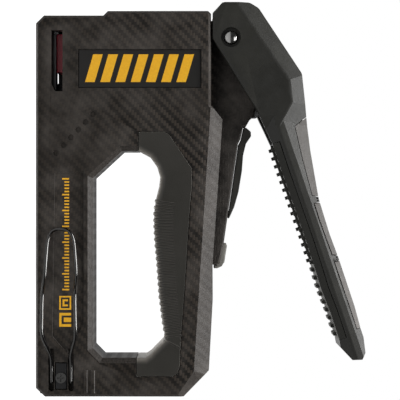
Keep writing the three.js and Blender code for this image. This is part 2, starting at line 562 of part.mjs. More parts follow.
function handle() {
  const full = handleSolid(0);
  const padCore = handleSolid(PAD_DEPTH);
  const padHollow = handleSolid(PAD_DEPTH + GAP);
  const channelOutline = [
    [-96.3, 80], [-96.3, 104], [-95, 106.4], [-64, 126], [-45, 127.9], [-27, 129.9], [-4, 133.6],
    [14, 139.2], [27, 143.6], [27, 120], [-45, 90],
  ];
  const channel = plate(channelOutline, -CHANNEL_HALF, CHANNEL_HALF);
  const bandBox = (grow) => {
    const upper = fingerSide.map(([x, z]) => [x - 1, z + 3.2 + grow]).reverse();
    const lower = fingerSide.map(([x, z]) => [x + 1.5, z - 5]);
    upper[0] = [upper[0][0] - grow, upper[0][1]];
    return plate([...upper, ...lower], -BEYOND, BEYOND);
  };
  let cover = cut(full, channel, rodY(PIVOT.x, PIVOT.z, PIVOT.r + GAP, -BEYOND, BEYOND));
  for (const outline of PADS) {
    cover = cut(cover, cut(plate(offset(outline, GAP), -BEYOND, BEYOND), padHollow));
  }
  const recess = HANDLE_HALF - PIN_RECESS.depth;
  cover = cut(cover, bandBox(GAP),
    rodY(PIVOT.x, PIVOT.z, PIN_RECESS.r, -BEYOND, -recess, 24),
    rodY(PIVOT.x, PIVOT.z, PIN_RECESS.r, recess, BEYOND, 24));
  add("handle_cover", cover, handlePlastic);
  PADS.forEach((outline, i) => {
    add(`palm_pad_${i + 1}`, cut(full.intersect(plate(outline, -BEYOND, BEYOND)), padCore), rubber);
  });

  // ribbed finger strip
  let strip = full.intersect(bandBox(0));
  const curve = new THREE.CatmullRomCurve3(fingerSide.map(([x, z]) => new THREE.Vector3(x, 0, z)));
  const { count, height, root, tip } = TOOTH;
  for (let i = 0; i < count; i++) {
    const place = (i + 0.6) / (count + 0.2);
    const at = curve.getPointAt(place);
    const along = curve.getTangentAt(place);
    const corner = (s, d) => [at.x + along.x * s - along.z * d, at.z + along.z * s + along.x * d];
    const profile = [corner(-root, -0.6), corner(root, -0.6), corner(tip, height), corner(-tip, height)];
    const [near, far] = TOOTH.row;
    const tooth = at.x > CHANNEL_END + 2
      ? plate(profile, -TOOTH.half, TOOTH.half)
      : join(plate(profile, -far, -near), plate(profile, near, far));
    strip = join(strip, tooth);
  }
  strip = cut(strip, plate([[-60, 90], [27, 120], [27, 150], [-60, 150]], -CHANNEL_HALF, CHANNEL_HALF));
  add("finger_strip", strip, rubber);

  // steel channel inside the handle, and the cam plate that presses the rocker
  const coreOutlineOuter = [
    [-90.6, 89], [-96, 94], [-96, 103.8], [-94.8, 106], [-63.9, 125.6], [-45, 127.5],
    [-27, 129.5], [-4, 133.2], [14, 138.8], [26.7, 143], [26.7, 137], [-28, 118.4], [-46, 111],
    [-80, 89],
  ];
  const inner = CHANNEL_HALF - GAP - CHANNEL_WALL;
  const core = cut(
    plate(coreOutlineOuter, -CHANNEL_HALF + GAP, CHANNEL_HALF - GAP),
    plate([[-91, 70], [-99, 94], [-94.8, 102.8], [-63.5, 124.2], [-45, 126.2], [-27, 128.2],
      [-4, 131.9], [14, 137.4], [30, 142.7], [30, 110]], -inner, inner),
    rodY(PIVOT.x, PIVOT.z, PIVOT.r + GAP, -BEYOND, BEYOND)
  );
  add("handle_core", core, steel);
  const cam = [
    [-46, 80], [-43.9, 80.8], [-43.3, 108], [-46, 112], [-50, 125.2], [-60, 124], [-53, 104],
    [-48.4, 81],
  ];
  add("cam_plate", plate(cam, -CAM_HALF, CAM_HALF), steel);

  // handle pin with domed ends
  const ring = (r) => circle(PIVOT.x, PIVOT.z, r, 24);
  const dome = [[-13.5, 1.4], [-13.2, 2.4], [-12.6, 3], [-12, PIVOT.r]];
  const ends = dome.map(([y, r]) => [-y, r]).reverse();
  add("pivot_pin", slab([...dome, ...ends].map(([y, r]) => [y, ring(r)])), steel);
}

bodyShells();
gripInsert();
badge();
noseParts();
shellScrews();
beltHook();
striker();
rocker();
magazine();
lock();
handle();

export default group;
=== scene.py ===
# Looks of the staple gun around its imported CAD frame. Metres, frame axes as in the CAD:
# -X nose, +X rear, +Z from the magazine base to the squeeze handle, Y through the thickness.
import json
import math

import bmesh
import bpy
from mathutils import Matrix, Vector

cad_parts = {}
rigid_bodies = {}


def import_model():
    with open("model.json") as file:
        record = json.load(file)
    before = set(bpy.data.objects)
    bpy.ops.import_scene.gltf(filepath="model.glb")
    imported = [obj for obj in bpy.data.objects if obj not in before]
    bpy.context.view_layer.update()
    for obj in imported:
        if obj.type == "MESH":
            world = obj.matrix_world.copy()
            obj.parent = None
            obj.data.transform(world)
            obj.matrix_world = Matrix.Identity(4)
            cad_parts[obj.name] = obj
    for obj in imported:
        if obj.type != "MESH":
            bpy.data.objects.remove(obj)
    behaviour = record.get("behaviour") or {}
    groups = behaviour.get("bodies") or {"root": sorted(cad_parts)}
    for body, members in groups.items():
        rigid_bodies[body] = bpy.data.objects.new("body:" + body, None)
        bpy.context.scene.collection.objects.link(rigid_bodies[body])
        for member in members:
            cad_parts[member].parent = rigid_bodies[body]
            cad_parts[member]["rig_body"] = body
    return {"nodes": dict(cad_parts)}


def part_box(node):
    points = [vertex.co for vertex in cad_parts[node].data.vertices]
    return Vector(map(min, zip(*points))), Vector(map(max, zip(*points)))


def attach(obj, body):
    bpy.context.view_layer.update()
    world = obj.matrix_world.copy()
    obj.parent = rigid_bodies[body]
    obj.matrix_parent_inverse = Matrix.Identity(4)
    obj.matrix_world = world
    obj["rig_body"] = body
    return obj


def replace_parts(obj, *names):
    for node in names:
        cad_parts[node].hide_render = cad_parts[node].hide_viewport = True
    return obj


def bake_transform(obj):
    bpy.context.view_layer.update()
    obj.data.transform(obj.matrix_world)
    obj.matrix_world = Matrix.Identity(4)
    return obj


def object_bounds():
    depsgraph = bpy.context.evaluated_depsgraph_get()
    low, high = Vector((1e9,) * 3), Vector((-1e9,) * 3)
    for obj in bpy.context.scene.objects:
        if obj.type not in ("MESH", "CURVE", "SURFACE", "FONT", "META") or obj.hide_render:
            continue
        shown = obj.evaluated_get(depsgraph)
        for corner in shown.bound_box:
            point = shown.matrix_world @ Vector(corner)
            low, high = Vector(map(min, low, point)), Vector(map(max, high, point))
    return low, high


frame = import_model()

CAD_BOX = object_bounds()
MM = 0.001

TOW = 1.3  # width of one tow of the weave, in millimetres
LOBE_SHADE_FOOT = (86.2, 88.5)  # heights between which the body fades into the painted shade on the lobe
AMBER = (0.95, 0.50, 0.012, 1)
RIB_SPAN = (-2.2, 66.6)  # where the grip has ribs, along X in millimetres


# ---------------------------------------------------------------- node materials
class Maker:
    """Short calls for building one node material."""

    def __init__(self, name):
        self.material = bpy.data.materials.new(name)
        self.material.use_nodes = True
        self.tree = self.material.node_tree
        self.tree.nodes.clear()
        self.shader = self.add("ShaderNodeBsdfPrincipled")
        output = self.add("ShaderNodeOutputMaterial")
        self.link(self.shader.outputs[0], output.inputs["Surface"])
        self.place = self.add("ShaderNodeTexCoord").outputs["Object"]

    def add(self, kind, **values):
        node = self.tree.nodes.new(kind)
        for key, value in values.items():
            setattr(node, key, value)
        return node

    def link(self, source, target):
        self.tree.links.new(source, target)

    def put(self, target, value):
        if isinstance(value, bpy.types.NodeSocket):
            self.link(value, target)
        else:
            target.default_value = value

    def math(self, operation, a, b=0.0):
        node = self.add("ShaderNodeMath", operation=operation)
        self.put(node.inputs[0], a)
        self.put(node.inputs[1], b)
        return node.outputs[0]

    def axes(self, source=None):
        node = self.add("ShaderNodeSeparateXYZ")
        self.link(source or self.place, node.inputs[0])
        return node.outputs

    def noise(self, scale, detail=4.0, roughness=0.5, stretch=(1, 1, 1)):
        mapping = self.add("ShaderNodeMapping")
        mapping.inputs["Scale"].default_value = stretch
        self.link(self.place, mapping.inputs["Vector"])
        node = self.add("ShaderNodeTexNoise")
        node.inputs["Scale"].default_value = scale
        node.inputs["Detail"].default_value = detail
        node.inputs["Roughness"].default_value = roughness
        self.link(mapping.outputs[0], node.inputs["Vector"])
        return node.outputs[0]

    def spots(self, scale):
        node = self.add("ShaderNodeTexVoronoi", feature="F1")
        node.inputs["Scale"].default_value = scale
        self.link(self.place, node.inputs["Vector"])
        return node.outputs["Distance"]

    def range(self, value, low, high, to_low, to_high):
        node = self.add("ShaderNodeMapRange")
        self.put(node.inputs["Value"], value)
        for key, number in (("From Min", low), ("From Max", high), ("To Min", to_low), ("To Max", to_high)):
            node.inputs[key].default_value = number
        return node.outputs[0]

    def mix(self, factor, a, b):
        node = self.add("ShaderNodeMix", data_type="RGBA")
        self.put(node.inputs["Factor"], factor)
        self.put(node.inputs["A"], a)
        self.put(node.inputs["B"], b)
        return node.outputs["Result"]

    def bump(self, height, distance, strength, before=None):
        node = self.add("ShaderNodeBump")
        node.inputs["Distance"].default_value = distance
        node.inputs["Strength"].default_value = strength
        self.link(height, node.inputs["Height"])
        if before:
            self.link(before, node.inputs["Normal"])
        return node.outputs[0]

    def finish(self, color, roughness, normal=None, metallic=0.0, **fixed):
        self.put(self.shader.inputs["Base Color"], color)
        self.put(self.shader.inputs["Roughness"], roughness)
        self.shader.inputs["Metallic"].default_value = metallic
        if normal:
            self.link(normal, self.shader.inputs["Normal"])
        for key, value in fixed.items():
            self.shader.inputs[key.replace("_", " ")].default_value = value
        return self.material


def worn(m, base, worn_color, amount):
    """Base colour that lightens along exposed edges and in faint patches."""
    edge = m.add("ShaderNodeNewGeometry").outputs["Pointiness"]
    edge = m.range(edge, 0.52, 0.60, 0.0, amount)
    patch = m.range(m.noise(60, 6, 0.6), 0.4, 0.7, 0.15, 1.0)
    return m.mix(m.math("MULTIPLY", edge, patch), base, worn_color)


def crowned(m, along):
    """Height across a tow: 1 on its middle line, 0 at its edges."""
    across = m.math("ABSOLUTE", m.math("SUBTRACT", m.math("FRACT", along), 0.5))
    return m.math("SUBTRACT", 1.0, m.math("MULTIPLY", m.math("POWER", across, 2.0), 4.0))


def composite_material():
    """Moulded composite with a twill weave in its flat faces and fine grain elsewhere."""
    m = Maker("composite_weave")
    x, _, z = m.axes()
    u = m.math("DIVIDE", x, TOW * MM)
    v = m.math("DIVIDE", z, TOW * MM)
    cell = m.math("SUBTRACT", m.math("FLOOR", u), m.math("FLOOR", v))
    step = m.math("FLOORED_MODULO", cell, 4.0)
    over = m.math("LESS_THAN", step, 1.5)
    mixed = m.add("ShaderNodeMix", data_type="FLOAT")
    m.link(over, mixed.inputs["Factor"])
    m.link(crowned(m, u), mixed.inputs["A"])
    m.link(crowned(m, v), mixed.inputs["B"])
    crown = mixed.outputs["Result"]
    normal = m.axes(m.add("ShaderNodeNewGeometry").outputs["Normal"])
    flat = m.range(m.math("ABSOLUTE", normal[1]), 0.90, 0.98, 0.0, 1.0)
    patchy = m.range(m.noise(24, 2, 0.5), 0.40, 0.60, 0.55, 1.0)
    rise = m.range(z, 0.012, 0.062, 0.55, 1.0)
    weave = m.math("MULTIPLY", m.math("MULTIPLY", flat, patchy), rise)
    light = m.math("MULTIPLY", m.math("MULTIPLY", over, weave), m.range(crown, 0.0, 1.0, 0.25, 1.0))
    dark = m.math("MULTIPLY", m.math("SUBTRACT", 1.0, over), weave)
    tone = m.range(m.noise(9, 3, 0.5), 0.3, 0.7, 0.0, 1.0)
    base = m.mix(tone, (0.0105, 0.0080, 0.0058, 1), (0.0145, 0.0112, 0.0083, 1))
    base = m.mix(dark, base, (0.0022, 0.0017, 0.0012, 1))
    color = m.mix(light, base, (0.040, 0.0315, 0.0245, 1))
    # painted shade: the lobe under the handle is darkened as the handle above it would shade it
    lobe_shade = m.math("MULTIPLY", flat, m.range(z, LOBE_SHADE_FOOT[0] * MM, LOBE_SHADE_FOOT[1] * MM, 0.0, 0.85))
    color = m.mix(lobe_shade, color, (0.0030, 0.0025, 0.0021, 1))
    # faces turned away from the two flat sides carry a coarser, greyer moulded grain
    side = m.range(m.math("ABSOLUTE", normal[1]), 0.97, 0.88, 0.0, 1.0)
    fleck = m.range(m.noise(1300, 3, 0.7), 0.35, 0.68, 0.0, 1.0)
    coarse = m.mix(fleck, (0.022, 0.0190, 0.0165, 1), (0.068, 0.060, 0.054, 1))
    color = m.mix(side, color, coarse)
    color = worn(m, color, (0.11, 0.098, 0.088, 1), 0.55)
    grain = m.noise(2600, 3, 0.6)
    normal_out = m.bump(m.math("MULTIPLY", crown, weave), 0.12 * MM, 0.7)
    normal_out = m.bump(m.math("MULTIPLY", fleck, side), 0.06 * MM, 0.6, normal_out)
    normal_out = m.bump(grain, 0.035 * MM, 0.5, normal_out)
    roughness = m.math("ADD", m.range(over, 0, 1, 0.50, 0.42), m.range(grain, 0.3, 0.7, -0.04, 0.05))
    roughness = m.math("ADD", roughness, m.math("MULTIPLY", lobe_shade, 0.3))
    return m.finish(color, roughness, normal_out, Specular_IOR_Level=0.20)


def grain_height(m, size):
    """Fine grain with small pits, as spark erosion leaves in a mould."""
    grain = m.noise(size, 2, 0.6)
    pits = m.spots(size * 0.7)
    return m.math("ADD", m.math("MULTIPLY", grain, 0.6), m.math("MULTIPLY", pits, 0.5))


def moulded_material(name, dark, light, grain_size, depth, rough, specular):
    """Spark-eroded moulded plastic or rubber: fine grain, faint blotches, rubbed edges."""
    m = Maker(name)
    blotch = m.range(m.noise(22, 5, 0.6), 0.3, 0.7, 0.0, 1.0)
    color = worn(m, m.mix(blotch, dark, light), tuple(c * 2.2 for c in light[:3]) + (1,), 0.5)
    normal = m.bump(grain_height(m, grain_size), depth * MM, 0.7)
    dust = m.range(m.noise(160, 4, 0.7), 0.35, 0.75, -0.05, 0.08)
    return m.finish(color, m.math("ADD", dust, rough), normal, Specular_IOR_Level=specular)


def grip_material(name, ribs):
    """Soft rubber, painted lighter as a painted highlight where it rounds towards the fingers; its ribs are
    darker, with painted shade on their flanks.
    """
    m = Maker(name)
    normal = m.axes(m.add("ShaderNodeNewGeometry").outputs["Normal"])
    blotch = m.range(m.noise(22, 5, 0.6), 0.3, 0.7, 0.0, 1.0)
    # painted highlight: lighter where the surface turns from the flat face towards the fingers
    rim_highlight = m.range(m.math("ABSOLUTE", normal[1]), 0.995, 0.60, 0.0, 1.0)
    if ribs:
        color = m.mix(blotch, (0.009, 0.0082, 0.0068, 1), (0.014, 0.0130, 0.0110, 1))
    else:
        color = m.mix(blotch, (0.022, 0.0205, 0.0165, 1), (0.034, 0.0315, 0.0265, 1))
        x = m.axes()[0]
        ribbed = m.math("MULTIPLY", m.math("GREATER_THAN", x, RIB_SPAN[0] * MM),
                        m.math("LESS_THAN", x, RIB_SPAN[1] * MM))
        rim_highlight = m.math("MULTIPLY", rim_highlight, m.range(ribbed, 0.0, 1.0, 1.0, 0.25))
    color = m.mix(rim_highlight, color, (0.260, 0.240, 0.210, 1))
    if ribs:
        # painted shade: the ribs' flanks are darkened as the grooves between them would be shaded
        side = m.range(m.math("ABSOLUTE", normal[0]), 0.35, 0.85, 0.0, 0.9)
        color = m.mix(side, color, (0.004, 0.0036, 0.0030, 1))
    dust = m.range(m.noise(160, 4, 0.7), 0.35, 0.75, 0.45, 0.58)
    normal_out = m.bump(grain_height(m, 1700), 0.06 * MM, 0.7)
    return m.finish(color, dust, normal_out, Specular_IOR_Level=0.35, Sheen_Weight=0.4,
                    Sheen_Roughness=0.35)


def steel_material(name, base, rough, scratch=(1, 1, 14), metallic=1.0):
    """Drawn or ground steel: fine lines along one axis, faint stains."""
    m = Maker(name)
    lines = m.noise(900, 3, 0.7, scratch)
    stain = m.range(m.noise(45, 5, 0.6), 0.35, 0.7, 0.0, 1.0)
    stained = tuple(c * 0.75 for c in base[:3]) + (1,)
    color = m.mix(m.math("MULTIPLY", stain, 0.6), base, stained)
    roughness = m.math("ADD", m.range(lines, 0.3, 0.7, -0.07, 0.1), rough)
    return m.finish(color, roughness, m.bump(lines, 0.02 * MM, 0.5), metallic)


def print_material():
    """Opaque amber pad print, slightly uneven."""
    m = Maker("amber_print")
    speckle = m.range(m.noise(900, 4, 0.6), 0.35, 0.7, 0.0, 1.0)
    color = m.mix(speckle, (0.86, 0.43, 0.012, 1), AMBER)
    return m.finish(color, m.range(speckle, 0, 1, 0.48, 0.6), m.bump(speckle, 0.02 * MM, 0.4))


composite = composite_material()
handle_plastic = moulded_material("handle_plastic", (0.0115, 0.0115, 0.0092, 1),
                                  (0.0175, 0.0171, 0.0138, 1), 1500, 0.05, 0.46, 0.5)
pad_rubber = moulded_material("pad_rubber", (0.055, 0.050, 0.045, 1), (0.080, 0.072, 0.065, 1),
                              1900, 0.06, 0.52, 0.5)
grip_rubber = grip_material("grip_rubber", False)
rib_rubber = grip_material("rib_rubber", True)
finger_rubber = moulded_material("finger_rubber", (0.0180, 0.0180, 0.0150, 1),
                                 (0.0270, 0.0265, 0.0225, 1), 1700, 0.06, 0.6, 0.3)
stop_rubber = moulded_material("stop_rubber", (0.16, 0.155, 0.140, 1), (0.22, 0.21, 0.19, 1),
                               1700, 0.06, 0.6, 0.4)
badge_plastic = moulded_material("badge_plastic", (0.0080, 0.0072, 0.0064, 1),
                                 (0.012, 0.0110, 0.0098, 1), 1200, 0.03, 0.5, 0.4)
red_plastic = moulded_material("red_plastic", (0.54, 0.065, 0.095, 1), (0.64, 0.095, 0.130, 1),
                               900, 0.02, 0.35, 0.5)
black_steel = steel_material("black_steel", (0.020, 0.020, 0.021, 1), 0.34, metallic=0.5)
hook_wire = steel_material("hook_wire", (0.13, 0.128, 0.125, 1), 0.16, (14, 1, 1), 1.0)
screw_steel = steel_material("screw_steel", (0.100, 0.099, 0.097, 1), 0.30, (1, 1, 1), 0.8)
bright_steel = steel_material("bright_steel", (0.60, 0.60, 0.60, 1), 0.20)
pin_steel = steel_material("pin_steel", (0.66, 0.655, 0.64, 1), 0.14, (1, 1, 1))
dull_steel = steel_material("dull_steel", (0.33, 0.33, 0.335, 1), 0.36)
amber_print = print_material()

NODE_MATERIAL = {
    "shell_left": composite, "shell_right": composite, "grip_insert": grip_rubber,
    "handle_cover": handle_plastic, "handle_lock": handle_plastic, "magazine_pull": handle_plastic,
    "finger_strip": finger_rubber, "handle_stop": stop_rubber, "plunger_bumper": stop_rubber,
    "staple_follower": red_plastic, "belt_hook": hook_wire, "belt_hook_clamp": black_steel,
    "belt_hook_screw": screw_steel, "magazine_channel": black_steel, "plunger": black_steel,
    "spring_seat": black_steel, "pivot_pin": pin_steel, "nose_plate": dull_steel,
    "driver_blade": bright_steel, "staple_strip": bright_steel, "magazine_rail": dull_steel,
    "pusher_rod": dull_steel, "pusher_spring": bright_steel, "power_spring": bright_steel,
    "return_spring": bright_steel, "rocker": dull_steel, "rocker_pin": bright_steel,
    "handle_lock_pin": bright_steel, "handle_core": dull_steel, "cam_plate": bright_steel,
    "badge_plate": badge_plastic,
}
for i in range(1, 4):
    NODE_MATERIAL[f"palm_pad_{i}"] = pad_rubber
for i in range(1, 6):
    NODE_MATERIAL[f"shell_screw_{i}"] = black_steel


# ---------------------------------------------------------------- mesh pieces
def new_piece(name, mesh, material, body):
    piece = bpy.data.objects.new(name, mesh)
    bpy.context.scene.collection.objects.link(piece)
    mesh.materials.clear()
    mesh.materials.append(material)
    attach(piece, body)
    return piece


def clean_copy(node):
    """The CAD node's mesh with its flat faces merged and slivers closed."""
    bm = bmesh.new()
    bm.from_mesh(frame["nodes"][node].data)
    bmesh.ops.remove_doubles(bm, verts=bm.verts, dist=2e-6)
    bmesh.ops.dissolve_limit(bm, angle_limit=math.radians(0.6), verts=bm.verts, edges=bm.edges)
    bmesh.ops.dissolve_degenerate(bm, dist=0.08 * MM, edges=bm.edges)
    bmesh.ops.recalc_face_normals(bm, faces=bm.faces)
    bm.faces.layers.int.new("rolled")
    return bm


def roll(bm, width, segments, low, high, length=0.0, wanted=None):
    """Rounds the edges whose angle lies between low and high degrees, clear of rounded faces."""
    layer = bm.faces.layers.int["rolled"]
    hard = []
    for edge in bm.edges:
        if len(edge.link_faces) != 2 or edge.calc_length() < length * MM:
            continue
        if all(face[layer] for face in edge.link_faces):
            continue
        if wanted and not wanted(edge):
            continue
        if math.radians(low) < edge.calc_face_angle(0) < math.radians(high):
            hard.append(edge)
    if not hard:
        return
    result = bmesh.ops.bevel(bm, geom=hard, offset=width * MM, offset_type="OFFSET",
                             segments=segments, profile=0.5, affect="EDGES", clamp_overlap=True)
    for face in result["faces"]:
        if face.is_valid:
            face[layer] = 1


WIDE_FACE = 8 * MM * MM  # flat faces from this area on are shaded flat
BEND = 50  # faces at a wider angle than this, in degrees, keep a sharp edge between them


def shade(mesh):
    """Corner normals: wide faces stay flat, and the narrow ones between them blend in."""
    marks = mesh.attributes.get("rolled")
    around = [[] for _ in mesh.vertices]
    facing, wide = [], []
    for polygon in mesh.polygons:
        polygon.use_smooth = True
        facing.append(polygon.normal.copy())
        is_rolled = bool(marks and marks.data[polygon.index].value)
        wide.append(polygon.area > WIDE_FACE and not is_rolled)
        for v in polygon.vertices:
            around[v].append(polygon.index)
    areas = [polygon.area for polygon in mesh.polygons]
    limit = math.cos(math.radians(BEND))
    normals = []
    for polygon in mesh.polygons:
        own = facing[polygon.index]
        for v in polygon.vertices:
            near = [i for i in around[v] if facing[i].dot(own) > limit]
            broad = [i for i in near if wide[i]]
            if wide[polygon.index] or not near:
                normals.append(own)
            elif broad:
                normals.append(facing[max(broad, key=lambda i: facing[i].dot(own))])
            else:
                normals.append(sum((facing[i] * areas[i] for i in near), Vector()).normalized())
    mesh.normals_split_custom_set(normals)


def publish(node, bm, flat_parts=True):
    """Turns a worked copy of a CAD node into the piece that is shown for it."""
    bmesh.ops.recalc_face_normals(bm, faces=bm.faces)
    mesh = bpy.data.meshes.new(f"{node}_fine")
    bm.to_mesh(mesh)
    bm.free()
    if flat_parts:
        shade(mesh)
    else:
        for polygon in mesh.polygons:
            polygon.use_smooth = True
    return new_piece(f"{node}_fine", mesh, NODE_MATERIAL[node], frame["nodes"][node]["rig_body"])


FOLD = 2.5 * MM * MM  # a face is folded when its triangles cover this much more than the face


def folded(bm):
    """True when the rolled edges of a face have run across each other."""
    filled = {}
    for a, b, c in bm.calc_loop_triangles():
        area = (b.vert.co - a.vert.co).cross(c.vert.co - a.vert.co).length / 2
        filled[a.face] = filled.get(a.face, 0) + area
    return any(abs(area - face.calc_area()) > FOLD for face, area in filled.items())


def rounded(node, width, segments=2):
    """A finer copy of a CAD node, its hard edges rolled by width."""
    for share in (1, 0.75, 0.5, 0.3, 0.15):
        bm = clean_copy(node)
        roll(bm, width * share, segments, 25, 180, 3)
        roll(bm, width * share * 0.5, segments, 25, 180, 0.8)
        if not folded(bm):
            break
    piece = publish(node, bm)
    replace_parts(piece, node)


def handle_cover(soft, width):
    """The handle cover with widely rolled ridges, and hard edges rolled where clear of them."""
    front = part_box("palm_pad_1")[0]
    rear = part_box("palm_pad_3")[0]
    rise = (rear.z - front.z) / (rear.x - front.x)

    def clear(edge):
        return not any(face[layer] for v in edge.verts for face in v.link_faces)

    def clear_of_pads(edge):
        middle = (edge.verts[0].co + edge.verts[1].co) / 2
        return clear(edge) and middle.z < front.z - 3 * MM + rise * (middle.x - front.x)

    for share in (1, 0.7, 0.4, 0.2):
        bm = clean_copy("handle_cover")
        layer = bm.faces.layers.int["rolled"]
        roll(bm, soft * share, 6, 22, 30, 9)
        roll(bm, width, 3, 31, 180, 3, clear_of_pads)
        roll(bm, width * 0.4, 3, 31, 180, 0.8, clear)
        if not folded(bm):
            break
    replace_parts(publish("handle_cover", bm), "handle_cover")


def smoothed_wire(node, levels):
    """A finer copy of a wire or spring."""
    bm = clean_copy(node)
    piece = publish(node, bm, flat_parts=False)
    smooth = piece.modifiers.new("smooth", "SUBSURF")
    smooth.levels = smooth.render_levels = levels
    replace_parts(piece, node)
    return piece


def sprung(node):
    """A spring with one end on each of two bodies: taken off the body it was on and baked in place."""
    piece = smoothed_wire(node, 1)
    graph = bpy.context.evaluated_depsgraph_get()
    piece.data = bpy.data.meshes.new_from_object(piece.evaluated_get(graph))
    piece.modifiers.clear()
    piece.parent = None  # the spring spans two bodies, so it rides on none of them here
    del piece["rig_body"]
    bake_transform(piece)


def revolved(name, centre, profile, material, body, steps):
    """A turned piece about an axis along Y: profile is a list of (y, radius) in metres."""
    verts = []
    for y, radius in profile:
        for k in range(steps):
            a = 2 * math.pi * k / steps
            verts.append((centre[0] + radius * math.cos(a), y, centre[1] + radius * math.sin(a)))
    faces = []
    for ring in range(len(profile) - 1):
        for k in range(steps):
            a, b = ring * steps + k, ring * steps + (k + 1) % steps
            faces.append((a, b, b + steps, a + steps))
    faces.append(tuple(range(steps)))
    faces.append(tuple(range((len(profile) - 1) * steps, len(profile) * steps)))
    mesh = bpy.data.meshes.new(name)
    mesh.from_pydata(verts, [], faces)
    bm = bmesh.new()
    bm.from_mesh(mesh)
    bmesh.ops.recalc_face_normals(bm, faces=bm.faces)
    bm.to_mesh(mesh)
    bm.free()
    shade(mesh)
    return new_piece(name, mesh, material, body)


PIN_CHAMFER = 0.2


def turned_pin(node, dome=0.0):
    """Replaces a CAD pin by a round one with the same length and radius."""
    low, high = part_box(node)
    radius = (high.x - low.x) / 2
    centre = ((low.x + high.x) / 2, (low.z + high.z) / 2)
    half, middle = (high.y - low.y) / 2, (high.y + low.y) / 2
    profile = []
    if dome:
        for k in range(9):
            a = math.radians(90 * k / 8)
            profile.append((half - dome * MM * (1 - math.cos(a)), radius * max(0.04, math.sin(a))))
    else:
        profile = [(half, radius - PIN_CHAMFER * MM), (half - PIN_CHAMFER * MM, radius)]
    profile = [(middle - y, r) for y, r in profile] + [(middle + y, r) for y, r in reversed(profile)]
    piece = revolved(node + "_turned", centre, profile, NODE_MATERIAL[node],
                     frame["nodes"][node]["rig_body"], 64)
    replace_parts(piece, node)


for node, obj in frame["nodes"].items():
    obj.data.materials.clear()
    obj.data.materials.append(NODE_MATERIAL[node])

handle_cover(2.8, 0.4)
for i in range(1, 4):
    rounded(f"palm_pad_{i}", 0.4, 3)
ROUNDING = {
    "shell_left": 0.4, "shell_right": 0.4, "handle_lock": 0.5, "finger_strip": 0.25,
    "handle_stop": 0.7, "magazine_pull": 0.5, "staple_follower": 0.4, "belt_hook_clamp": 0.2,
    "nose_plate": 0.2, "badge_plate": 0.2, "belt_hook_screw": 0.15, "magazine_channel": 0.15,
    "plunger": 0.2, "rocker": 0.2, "cam_plate": 0.2, "magazine_rail": 0.15, "handle_core": 0.15,
    "spring_seat": 0.2, "plunger_bumper": 0.5, "driver_blade": 0.1, "staple_strip": 0.1,
}
for node, width in ROUNDING.items():
    rounded(node, width)
for i in range(1, 6):
    rounded(f"shell_screw_{i}", 0.15)
smoothed_wire("belt_hook", 2)
smoothed_wire("return_spring", 1)
sprung("pusher_spring")
sprung("power_spring")
turned_pin("pivot_pin", dome=1.3)
turned_pin("rocker_pin")
turned_pin("handle_lock_pin")


# ---------------------------------------------------------------- rubber grip
RIM_RADIUS = 3.4  # rounding of the grip towards the fingers
RIM_RISE = 15.5  # the finger side lies within this height of the grip's foot
RIM_ENDS = (8.8, 8.0)  # lengths at the nose and rear end with only a narrow rounding


def grip():
    """Grip with a full rounding on its finger side."""
    bm = clean_copy("grip_insert")
    low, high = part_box("grip_insert")
    hole_top = low.z + RIM_RISE * MM

    def finger_side(edge):
        a, b = (v.co for v in edge.verts)
        if max(abs(a.y), abs(b.y)) < high.y - 1e-5 or abs(a.y - b.y) > 1e-5:
            return False
        middle = (a + b) / 2
        inside = low.x + RIM_ENDS[0] * MM < middle.x < high.x - RIM_ENDS[1] * MM
        return middle.z < hole_top and inside

    roll(bm, RIM_RADIUS, 6, 40, 180, 0, finger_side)
    roll(bm, 0.5, 3, 40, 180, 2)
    piece = publish("grip_insert", bm)
    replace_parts(piece, "grip_insert")


RIB_PITCH = 1.58
RIB_SINK = 0.03  # how far a rib reaches into the grip
THIN_RIB = (0.18, 0.40)  # height and half width where the rib crosses the finger side
BEAD = (0.62, 0.95)  # the same of every second one
FACE_RIB = (0.20, 0.44)  # the same of both kinds where they climb the faces
RIB_REACH = (9.9, 8.6)  # how far the first and the last rib climb the face


def finger_height():
    """Height of the grip's finger side as a function of x, in millimetres."""
    low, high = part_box("grip_insert")
    points = set()
    for v in frame["nodes"]["grip_insert"].data.vertices:
        x, y, z = v.co / MM
        if y < low.y / MM + 0.01 and z < low.z / MM + 14 and low.x / MM + 9 < x < high.x / MM - 9:
            points.add((round(x, 2), round(z, 2)))
    points = sorted(points)

    def height(x):
        for (x0, z0), (x1, z1) in zip(points, points[1:]):
            if x0 <= x <= x1:
                return z0 + (z1 - z0) * (x - x0) / (x1 - x0)
        return points[0][1] if x < points[0][0] else points[-1][1]

    return height


def rib_path(reach, half):
    """(depth, y, outward depth, outward y) from one face over the finger side to the other."""
    side = []
    for k in range(6):
        side.append((reach - (reach - RIM_RADIUS) * k / 6, -half, 0.0, -1.0))
    for k in range(7):
        a = math.radians(90 * k / 6)
        side.append((RIM_RADIUS * (1 - math.sin(a)), -half + RIM_RADIUS * (1 - math.cos(a)),
                     -math.sin(a), -math.cos(a)))
    other = [(d, -y, od, -oy) for d, y, od, oy in reversed(side)]
    return side + other


